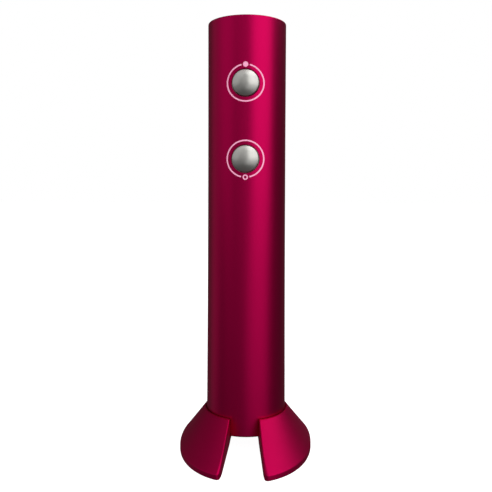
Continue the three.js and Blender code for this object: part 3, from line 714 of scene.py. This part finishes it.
@dataclass
class Buttons:
    """The two domed push buttons, each turned about its own axis."""

    heights: tuple[float, float]
    radius: float = 8.0
    crown: float = 28.0
    rim: float = 25.2
    flange: float = 9.6
    flange_back: float = 20.0
    flange_front: float = 21.0

    def build(self, dress: Dressing) -> None:
        """Makes each button with its dome, rounded rim and hidden flange."""
        share = np.linspace(1, 0, 14)
        dome = np.stack([self.radius * share, self.crown - (self.crown - self.rim) * share**2], axis=-1)
        corners = [
            (0, self.flange_back), (self.flange, self.flange_back), (self.flange, self.flange_front),
            (self.radius, self.flange_front), dome[0], dome[1],
        ]
        rim = fillet(corners, [0, 0.2, 0.2, 0.2, 0.45, 0])
        profile = np.concatenate([rim[:-1], dome[1:]])
        for name, height in zip(("upper", "lower"), self.heights):
            button = facing_front(turned(profile, 96, closed=False), height)
            made = button.piece(f"{name}_push_button", f"{name}_push", dress(SATIN_NICKEL), "satin_metal")
            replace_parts(made, f"{name}_button")


# ---- The foil-cutter stand ----


@dataclass
class Wing:
    """One wing of the stand: a section swept round from the front gap to the rear parting.

    The section is a closed outline in radius and height. A point at radius r and angle a from the front goes
    to (r sin a, -r cos a). Its y is then stretched, more with radius, so that the foot print is longer than
    wide, and both are spread a little, so that the outline is fuller than an ellipse.
    """

    hand: int
    side: float = 41.3
    front: float = 57.5
    rear: float = 55.3
    squareness: float = 2.16
    seat: float = 25.5
    lip: float = 0.9
    crest: float = 22.9
    rim: float = 3.2
    heel: float = 37.4
    ledge: float = 11.7
    ledge_under: float = 9.8
    neck: float = 13.5
    gap_half: float = 8.45
    gap_at: float = 22.6
    gap_slope: float = 0.1246
    parting: float = 0.4
    edge: float = 0.8
    corner: float = 2.4
    corner_from: float = 34.0
    spans: int = 110
    longest_span: float = 1.6

    def section(self) -> Array:
        """The wing's section, anticlockwise, with rounded edges."""
        corners = [
            (self.neck, self.ledge_under), (self.gap_at, self.ledge_under), (self.heel, 0), (self.side, 0),
            (self.side, self.rim), (self.seat + self.lip, self.crest), (self.seat, self.crest),
            (self.seat, self.ledge), (self.neck, self.ledge),
        ]
        radii = [0.3, 6.0, 0.5, 0.6, 0.9, 0.35, 0.35, 0.15, 0.3]
        return self.divided(fillet(corners, radii, steps=7, closed=True), self.longest_span)

    @staticmethod
    def divided(outline: Array, longest: float) -> Array:
        """A closed outline with points added so that no span is longer than a length."""
        step = np.roll(outline, -1, axis=0) - outline
        parts = np.maximum(np.ceil(np.linalg.norm(step, axis=1) / longest).astype(int), 1)
        index = np.repeat(np.arange(len(outline)), parts)
        within = np.arange(len(index)) - np.repeat(np.cumsum(parts) - parts, parts)
        return outline[index] + step[index] * (within / parts[index])[:, None]

    def stretch(self, r: Array, reach: float) -> Array:
        """How far y is stretched at a radius: not at the seat, and up to the reach at the rim."""
        out = np.clip((r - self.seat) / (self.side - self.seat), 0, None)
        return (self.seat + (reach - self.seat) * out) / (self.seat + (self.side - self.seat) * out)

    def fullness(self, r: Array, angle: Array) -> Array:
        """How far a point is spread beyond the ellipse: nothing at the seat, and all of it at the rim.

        All of it is (|sin a| ** p + |cos a| ** p) ** (-1 / p) for the outline's squareness p.
        """
        power = self.squareness
        out = np.clip((r - self.seat) / (self.side - self.seat), 0, 1)
        full = (np.abs(np.sin(angle)) ** power + np.abs(np.cos(angle)) ** power) ** (-1 / power)
        return 1 + (full - 1) * out

    def end_angle(self, r: Array, inset: Array) -> Array:
        """The angle at which a radius meets the face of the front gap, set in by a distance.

        The face is the line w r sin a = offset + slope * stretch * w r cos a, where w is the fullness at a.
        It is solved for a with the last w, three times over.
        """
        lean = self.gap_slope * self.stretch(r, self.front)
        offset = self.gap_half - self.gap_slope * self.gap_at + inset * math.hypot(1, self.gap_slope)
        wide = np.ones_like(r)
        for _ in range(3):
            angle = np.arctan(lean) + np.arcsin(np.clip(offset / (wide * r * np.hypot(1, lean)), -1, 1))
            wide = self.fullness(r, angle)
        return angle

    def surface(self) -> Surface:
        """Sweeps the section, drawing it in at both ends so that the ends' edges are round.

        At an end, a quarter turn u gives the distance from the end face, edge * (1 - cos u), and how far the
        section is drawn in, edge * (1 - sin u). Near the rim of the front end the edge grows to the corner.
        """
        section = self.section()
        tangent = np.roll(section, -1, axis=0) - np.roll(section, 1, axis=0)
        tangent /= np.linalg.norm(tangent, axis=1, keepdims=True)
        normal = np.stack([tangent[:, 1], -tangent[:, 0]], axis=-1)
        u = np.linspace(0, math.pi / 2, 9)[:, None]
        near_rim = np.clip((section[:, 0] - self.corner_from) / (self.side - self.corner_from), 0, 1) ** 2
        round_front = self.edge + (self.corner - self.edge) * near_rim[None, :]
        ends = []
        for radius in (round_front, np.full_like(round_front, self.edge)):
            drawn = radius * (1 - np.sin(u))
            r = section[None, :, 0] - np.minimum(drawn, self.edge) * normal[None, :, 0]
            r = r - (drawn - np.minimum(drawn, self.edge)) * near_rim[None, :]
            z = section[None, :, 1] - self.edge * (1 - np.sin(u)) * normal[None, :, 1]
            ends.append((r, z, radius * (1 - np.cos(u))))
        (r0, z0, in0), (r1, z1, in1) = ends
        front_angle = self.end_angle(r0, in0)
        rear_angle = math.pi - np.arcsin((self.parting + in1) / r1)
        share = np.linspace(0, 1, self.spans + 1)[1:-1, None]
        first, last = front_angle[-1:], rear_angle[-1:]
        angle = np.concatenate([front_angle, first + share * (last - first), rear_angle[::-1]])
        still = np.ones((self.spans - 1, 1))
        r = np.concatenate([r0, still * section[None, :, 0], r1[::-1]])
        z = np.concatenate([z0, still * section[None, :, 1], z1[::-1]])
        wide = r * self.fullness(r, angle)
        y = -wide * np.cos(angle)
        y *= np.where(y < 0, self.stretch(r, self.front), self.stretch(r, self.rear))
        return swept(np.stack([self.hand * wide * np.sin(angle), y, z], axis=-1))


@dataclass
class Hinge:
    """The hinge behind the tube: three knuckles on a headed pin, in a well under the wings."""

    y: float = 34.0
    radius: float = 4.6
    bottom: float = 3.5
    knuckle: float = 2.8
    step: float = 3.1
    pin: float = 1.5
    play: float = 0.3
    strap: tuple[float, float] = (3.2, 8.6)
    strap_half: float = 2.8
    strap_inset: float = 0.1
    head: float = 2.8
    head_height: float = 1.6
    spring_y: float = 29.5
    spring_z: float = 17.0
    pocket: float = 2.5
    pocket_reach: float = 4.3

    def spaces(self) -> list[Surface]:
        """The well round the knuckles and the pocket of the spring, which are cut out of both wings."""
        roof = self.bottom + 3 * self.step + self.play
        well = moved(rod(self.radius + self.play, -1, roof), (0, self.y, 0))
        pocket = rod(self.pocket, -self.pocket_reach, self.pocket_reach)
        pocket = along_x(pocket, (0, self.spring_y, self.spring_z))
        return [well, pocket]

    def knuckles(self, hand: int) -> Surface:
        """One wing's knuckles with the straps that join them to it."""
        floors = (0, 2) if hand < 0 else (1,)
        made = Surface()
        for floor in floors:
            low = self.bottom + floor * self.step
            high = low + self.knuckle
            barrel = moved(rod(self.radius, low, high, self.pin + self.play, 0.25, 72), (0, self.y, 0))
            inner, outer = sorted(hand * reach for reach in self.strap)
            strap = box(
                (inner, self.y - self.strap_half, low + self.strap_inset),
                (outer, self.y + self.strap_half, high - self.strap_inset),
            )
            for sheet in (barrel, strap):
                made.add(np.concatenate(sheet.points), sheet.faces)
        return made

    def build(self, dress: Dressing) -> None:
        """Makes the knuckles and the pin."""
        for name, hand in (("left", -1), ("right", 1)):
            made = self.knuckles(hand)
            made.piece(f"{name}_hinge_knuckles", f"stand_{name}", dress(CHERRY_LACQUER), "lacquer")
        low, high = self.bottom - self.play, self.bottom + 3 * self.step - self.play
        foot, head, pin = low - self.head_height, self.head, self.pin
        corners = [(0, foot), (head, foot), (head, low), (pin, low), (pin, high), (0, high)]
        profile = fillet(corners, [0, 0.7, 0.15, 0.05, 0.3, 0], steps=5)
        made = moved(turned(profile, 64, closed=False), (0, self.y, 0))
        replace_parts(made.piece("hinge_pin", "stand_left", dress(GROUND_STEEL), "steel"), "wing_hinge_pin")


@dataclass
class Stand:
    """The foil cutter that the opener stands in: two wings, their hinge, and four cutting wheels on pins."""

    cutter_radius: float = 18.9
    cutter_angle: float = 40.0
    disc: float = 4.6
    hinge: Hinge = field(default_factory=Hinge)

    def wheel(self) -> Surface:
        """A cutting wheel: a hub with a thin disc that comes to an edge."""
        corners = [
            (1.4, 2.6), (2.4, 2.6), (2.4, 4.15), (3.5, 4.15), (self.disc, 4.5), (3.5, 4.85), (2.4, 4.85),
            (2.4, 9.3), (1.4, 9.3),
        ]
        radii = [0.1, 0.15, 0.1, 0.1, 0.03, 0.1, 0.1, 0.15, 0.1]
        return turned(fillet(corners, radii, steps=4, closed=True), 72)

    def pin(self) -> Surface:
        """A cutter's pin with its domed head below."""
        profile = fillet(
            [(0, 1.4), (1.9, 1.4), (2.1, 1.7), (2.1, 2.2), (1.2, 2.2), (1.2, 11.4), (0, 11.4)],
            [0, 0.5, 0.1, 0.1, 0.05, 0.2, 0], steps=4,
        )
        return turned(profile, 48, closed=False)

    def build(self, dress: Dressing) -> None:
        """Makes both wings, the hinge and the cutters."""
        self.hinge.build(dress)
        angle, steel = math.radians(self.cutter_angle), dress(GROUND_STEEL)
        across, ahead = self.cutter_radius * math.cos(angle), self.cutter_radius * math.sin(angle)
        for name, hand in (("left", -1), ("right", 1)):
            body, spaces = f"stand_{name}", self.hinge.spaces()
            wing = Wing(hand).surface()
            shell = wing.piece(f"{name}_wing_shell", body, dress(CHERRY_LACQUER), "lacquer", cutters=spaces)
            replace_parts(shell, f"{name}_wing")
            for end, forward in (("front", -1), ("rear", 1)):
                place = (hand * across, forward * ahead, 0)
                wheel = moved(self.wheel(), place)
                made = wheel.piece(f"{name}_{end}_cutting_wheel", f"cutter_{name}_{end}", steel, "steel", 25)
                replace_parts(made, f"cutter_wheel_{name}_{end}")
                pin = moved(self.pin(), place).piece(f"{name}_{end}_cutter_pin", body, steel, "steel")
                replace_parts(pin, f"cutter_pin_{name}_{end}")


# ---- The parts seen in the open foot ----


@dataclass
class WormEnd:
    """The neck guide, the cork sleeve and the worm."""

    def neck_guide(self) -> Surface:
        """The guide's flared mouth, its straight bore and its outer flanges."""
        corners = [
            (21.5, 12.6), (23.2, 12.6), (23.2, 18.6), (17.8, 28.6), (17.8, 60), (23.2, 62), (23.2, 65),
            (12.5, 65), (12.5, 62), (15.8, 61.5), (15.8, 23.6),
        ]
        return turned(fillet(corners, [0.5, 0.4, 0.3, 1, 1, 0.3, 0.3, 0.4, 0.4, 0.3, 5], closed=True), 128)

    def sleeve(self) -> Surface:
        """The cork sleeve with a flange at each end."""
        corners = [
            (13.4, 65.3), (20.5, 65.3), (20.5, 67.3), (15, 67.3), (15, 114), (20.5, 114), (20.5, 116),
            (13.4, 116),
        ]
        return turned(fillet(corners, 0.4, closed=True), 96)

    def worm(self) -> Surface:
        """The worm: a helix that swells from its point and winds in to the shank.

        The angle grows evenly with height, the helix's radius eases to zero over the top 6 mm, and the wire's
        radius grows from the point over the first 8 mm.
        """
        z = np.concatenate([np.linspace(24, 94, 420), np.linspace(94.6, 106.7, 12)])
        angle = (z - 32) / 9 * FULL
        left = np.clip((94 - z) / 6, 0, 1)
        helix = 3.4 * left**2 * (3 - 2 * left)
        path = np.stack([helix * np.cos(angle), helix * np.sin(angle), z], axis=-1)
        grow = np.clip((z - 24) / 8, 0, 1)
        return swept_wire(path, 1.6 * (0.06 + 0.94 * np.sqrt(grow * (2 - grow))), 24)

    def build(self, dress: Dressing) -> None:
        """Makes the three pieces."""
        guide = self.neck_guide().piece("bottle_neck_guide", "opener", dress(BLACK_ABS), "black_plastic")
        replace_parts(guide, "neck_guide")
        sleeve = self.sleeve().piece("cork_chamber", "opener", dress(GREY_NYLON), "grey_plastic")
        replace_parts(sleeve, "cork_sleeve")
        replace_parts(self.worm().piece("wine_worm", "worm_drive", dress(COATED_STEEL), "steel"), "worm")


# ---- The battery cap ----


@dataclass
class BatteryCap:
    """The screw cap at the top: a slightly dished disc with a coin slot, over a skirt with a short thread."""

    skirt: float = 21.6
    inner: float = 20.2
    bottom: float = 254.4
    flange: float = 262.2
    rim: float = 23.2
    top: float = 266.6
    roof: float = 5.4
    dish: float = 0.4
    slot: tuple[float, float, float] = (18.0, 2.4, 1.9)
    thread: float = 0.65
    thread_start: float = 1.1
    thread_turns: float = 0.9
    thread_run_out: float = 0.06
    pitch: float = 3.0

    def build(self, dress: Dressing) -> None:
        """Makes the cap and cuts its slot."""
        corners = [
            (0, self.top - self.roof), (self.inner, self.top - self.roof), (self.inner, self.bottom),
            (self.skirt, self.bottom), (self.skirt, self.flange), (self.rim, self.flange),
            (self.rim, self.top), (self.rim - 2.6, self.top), (self.rim - 3.2, self.top - self.dish),
            (0, self.top - self.dish),
        ]
        profile = fillet(corners, [0, 0.4, 0.3, 0.4, 0.2, 0.3, 0.7, 0.25, 0.25, 0], steps=6)
        length, width, depth = self.slot
        slot = box((-length / 2, -width / 2, self.top - depth), (length / 2, width / 2, self.top + 1))
        disc = turned(profile, 128, closed=False)
        cap = disc.piece("coin_slot_cap", "cap", dress(BLACK_ABS), "black_plastic", cutters=[slot])
        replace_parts(cap, "battery_cap")
        self.ridge().piece("cap_thread", "cap", dress(BLACK_ABS), "black_plastic")

    def ridge(self) -> Surface:
        """The thread: a round ridge on a helix that thins to nothing at both ends."""
        turn = np.linspace(0, self.thread_turns, 90)
        angle = turn * FULL
        rise = self.bottom + self.thread_start + self.pitch * turn
        path = np.stack([self.skirt * np.cos(angle), self.skirt * np.sin(angle), rise], axis=-1)
        ends = np.clip(np.minimum(turn, self.thread_turns - turn) / self.thread_run_out, 0.05, 1)
        return swept_wire(path, self.thread * np.sqrt(ends), 16)


# ---- Internal pieces, which keep their CAD shapes ----

INTERNAL_FINISHES: dict[str, Finish] = {
    "wing_hinge_pin": GROUND_STEEL,
    "wing_spring": ZINC_PLATE,
    "worm_chuck": ZINC_PLATE,
    "chuck_grub_screw": ZINC_PLATE,
    "motor_pinion": BARE_BRASS,
    "motor": ZINC_PLATE,
    "circuit_board": SOLDER_MASK,
    "cap_seal": NITRILE,
    "motor_lead_red": RED_PVC,
    "motor_lead_black": BLACK_PVC,
}
SLOT_FINISHES: dict[str, Finish] = {
    "steel": ZINC_PLATE,
    "satin_metal": SATIN_NICKEL,
    "black_plastic": BLACK_ABS,
    "grey_plastic": GREY_NYLON,
    "gear_plastic": ACETAL,
    "cell_wrap": CELL_FILM,
    "lacquer": CHERRY_LACQUER,
}


def dress_cad_nodes(frame: dict[str, Any], dress: Dressing) -> None:
    """Gives every CAD node a finish: its own if it has one, or that of its material slot."""
    for entry in frame["record"]["subparts"]:
        finish = INTERNAL_FINISHES.get(entry["node"]) or SLOT_FINISHES[entry["material_slot"]]
        dress.dress(frame["nodes"][entry["node"]], finish)


# ---- The studio ----


@dataclass
class SoftBox:
    """A rectangular lamp that faces the object from a direction, with its size in metres."""

    name: str
    azimuth: float
    elevation: float
    width: float
    height: float
    radiance: float
    distance: float = 1.1
    aim: float = 0.14

    def build(self) -> None:
        """Makes the lamp; its power is the radiance it should show times pi times its area."""
        a, e = math.radians(self.azimuth), math.radians(self.elevation)
        lamp = bpy.data.lights.new(self.name, "AREA")
        lamp.shape, lamp.size, lamp.size_y = "RECTANGLE", self.width, self.height
        lamp.energy = self.radiance * math.pi * self.width * self.height
        made = bpy.data.objects.new(self.name, lamp)
        back = np.array([math.sin(a) * math.cos(e), -math.cos(a) * math.cos(e), math.sin(e)])
        made.location = back * self.distance + np.array([0, 0, self.aim])
        made.rotation_euler = (math.pi / 2 - e, 0, a)
        made.visible_camera = False
        bpy.context.scene.collection.objects.link(made)


@dataclass
class Studio:
    """The camera, a pale floor and backdrop, and soft lamps with dark between them."""

    camera_azimuth: float = 2.1
    camera_distance: float = 0.389
    camera_height: float = 0.1623
    lens: float = 44.25
    shift: float = -0.118
    shift_across: float = -0.0014
    roll: float = -0.20
    floor_glow: float = 0.97
    room_glow: float = 0.06

    def camera(self) -> None:
        """Makes the level camera in front of the buttons, shifted down so that the whole object shows."""
        data = bpy.data.cameras.new("studio_camera")
        data.sensor_width, data.lens = 36.0, self.lens
        data.shift_x, data.shift_y = self.shift_across, self.shift
        data.clip_start, data.clip_end = 0.01, 50
        made = bpy.data.objects.new("studio_camera", data)
        a = math.radians(self.camera_azimuth)
        away = self.camera_distance
        made.location = (away * math.sin(a), -away * math.cos(a), self.camera_height)
        made.rotation_euler = (math.pi / 2, math.radians(self.roll), a)
        bpy.context.scene.collection.objects.link(made)
        bpy.context.scene.camera = made

    def floor(self) -> None:
        """Makes the pale table top, which shows to the camera but is kept out of the metal's reflections."""
        mesh = bpy.data.meshes.new("table_top")
        half, drop = 6.0, 0.05 * MM
        corners = [(-half, -half), (half, -half), (half, half), (-half, half)]
        mesh.from_pydata([(x, y, -drop) for x, y in corners], [], [(0, 1, 2, 3)])
        made = bpy.data.objects.new("table_top", mesh)
        bpy.context.scene.collection.objects.link(made)
        material = bpy.data.materials.new("matt_white_paper")
        material.use_nodes = True
        tree = material.node_tree
        tree.nodes.clear()
        paper = add_node(tree, "ShaderNodeBsdfDiffuse", {"Color": srgb("fafafa")})
        glow = add_node(tree, "ShaderNodeEmission", {"Color": srgb("ffffff"), "Strength": self.floor_glow})
        both = add_node(tree, "ShaderNodeAddShader", _0=paper.outputs[0], _1=glow.outputs[0])
        add_node(tree, "ShaderNodeOutputMaterial", Surface=both.outputs[0])
        mesh.materials.append(material)
        made.visible_glossy = False
        made.visible_shadow = False

    def backdrop(self) -> None:
        """Sets a world that is white behind the object and dim in its reflections."""
        world = bpy.data.worlds.new("studio_backdrop")
        bpy.context.scene.world = world
        world.use_nodes = True
        tree = world.node_tree
        tree.nodes.clear()
        path = add_node(tree, "ShaderNodeLightPath")
        dim, seen = (
            add_node(tree, "ShaderNodeBackground", {"Color": (1, 1, 1, 1), "Strength": strength}).outputs[0]
            for strength in (self.room_glow, 1.0)
        )
        mixed = add_node(tree, "ShaderNodeMixShader", _0=path.outputs["Is Camera Ray"], _1=dim, _2=seen)
        add_node(tree, "ShaderNodeOutputWorld", Surface=mixed.outputs[0])

    def lamps(self) -> None:
        """Hangs the lamps: a broad key on the right, weaker fills on the left, and brighter ones above."""
        for lamp in (
            SoftBox("key_softbox", 46, 22, 1.27, 0.9, 1.23),
            SoftBox("key_low_softbox", 33, -14, 1.35, 0.5, 0.5),
            SoftBox("front_softbox", -12, 22, 0.6, 0.9, 0.31),
            SoftBox("front_low_softbox", -35, -14, 1.3, 0.5, 0.132),
            SoftBox("fill_softbox", -58, 22, 0.9, 0.9, 0.437),
            SoftBox("left_edge_softbox", -100, 2, 0.7, 1.2, 0.225),
            SoftBox("top_right_softbox", 110, 48, 0.9, 0.6, 1.19),
            SoftBox("top_key_softbox", 50, 62, 0.8, 0.6, 1.66),
            SoftBox("top_fill_softbox", -45, 60, 0.8, 0.6, 0.596),
        ):
            lamp.build()

    def build(self) -> None:
        """Sets up the camera, the stage and the lamps."""
        self.camera()
        self.floor()
        self.backdrop()
        self.lamps()
        bpy.context.scene.view_settings.view_transform = "Standard"


def main() -> None:
    """Loads the frame and builds the studio, the stand and the opener in order."""
    logging.basicConfig(level=logging.INFO, format="%(message)s")
    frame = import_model()
    Studio().build()
    dress = Dressing()
    dress_cad_nodes(frame, dress)
    low, high = (np.array(corner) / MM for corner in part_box("body_tube"))
    buttons = (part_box(f"{name}_button") for name in ("upper", "lower"))
    heights = tuple(float((below[2] + above[2]) / 2 / MM) for below, above in buttons)
    Tube(low[2], high[2], (high[0] - low[0]) / 2, heights).build(dress)
    Buttons(heights).build(dress)
    Stand().build(dress)
    WormEnd().build(dress)
    BatteryCap().build(dress)


if __name__ == "__main__":
    main()
